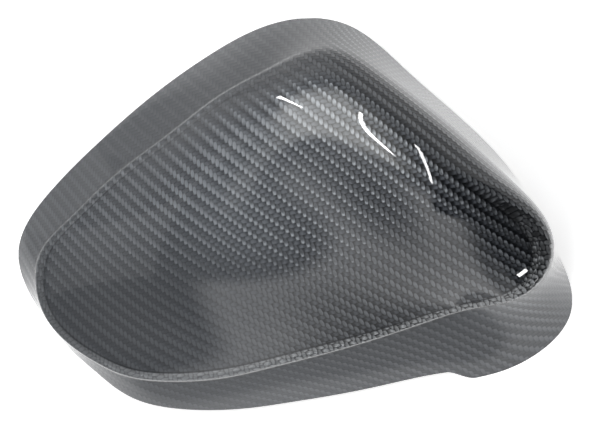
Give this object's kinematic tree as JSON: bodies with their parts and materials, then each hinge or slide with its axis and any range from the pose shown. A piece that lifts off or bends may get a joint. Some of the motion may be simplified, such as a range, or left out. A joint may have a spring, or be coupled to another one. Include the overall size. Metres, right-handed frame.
{
  "type": "wing mirror cover",
  "caption": "Domed carbon fibre shell that clips over the back of a car's wing mirror housing, with a creased edge, a cut-back lower rim and snap clips inside.",
  "frame": {"origin": "in the rim plane, at the middle of the cover's length and width", "axes": "+X towards the deep end of the cover, away from its pointed tip; +Y towards the far side, opposite the cut-back edge; +Z out of the crown, away from the open side"},
  "size_m": [0.2508, 0.1738, 0.0543],
  "materials": {
    "carbon": "twill carbon fibre cloth in resin under a gloss clear coat",
    "clip_plastic": "black moulded plastic, fine matt grain"
  },
  "bodies": {
    "root": {"carbon_shell": "carbon", "clip_tip": "clip_plastic", "clip_far_left": "clip_plastic", "clip_far_right": "clip_plastic", "clip_deep_end": "clip_plastic", "clip_near_right": "clip_plastic", "clip_near_left": "clip_plastic"}
  },
  "joints": []
}
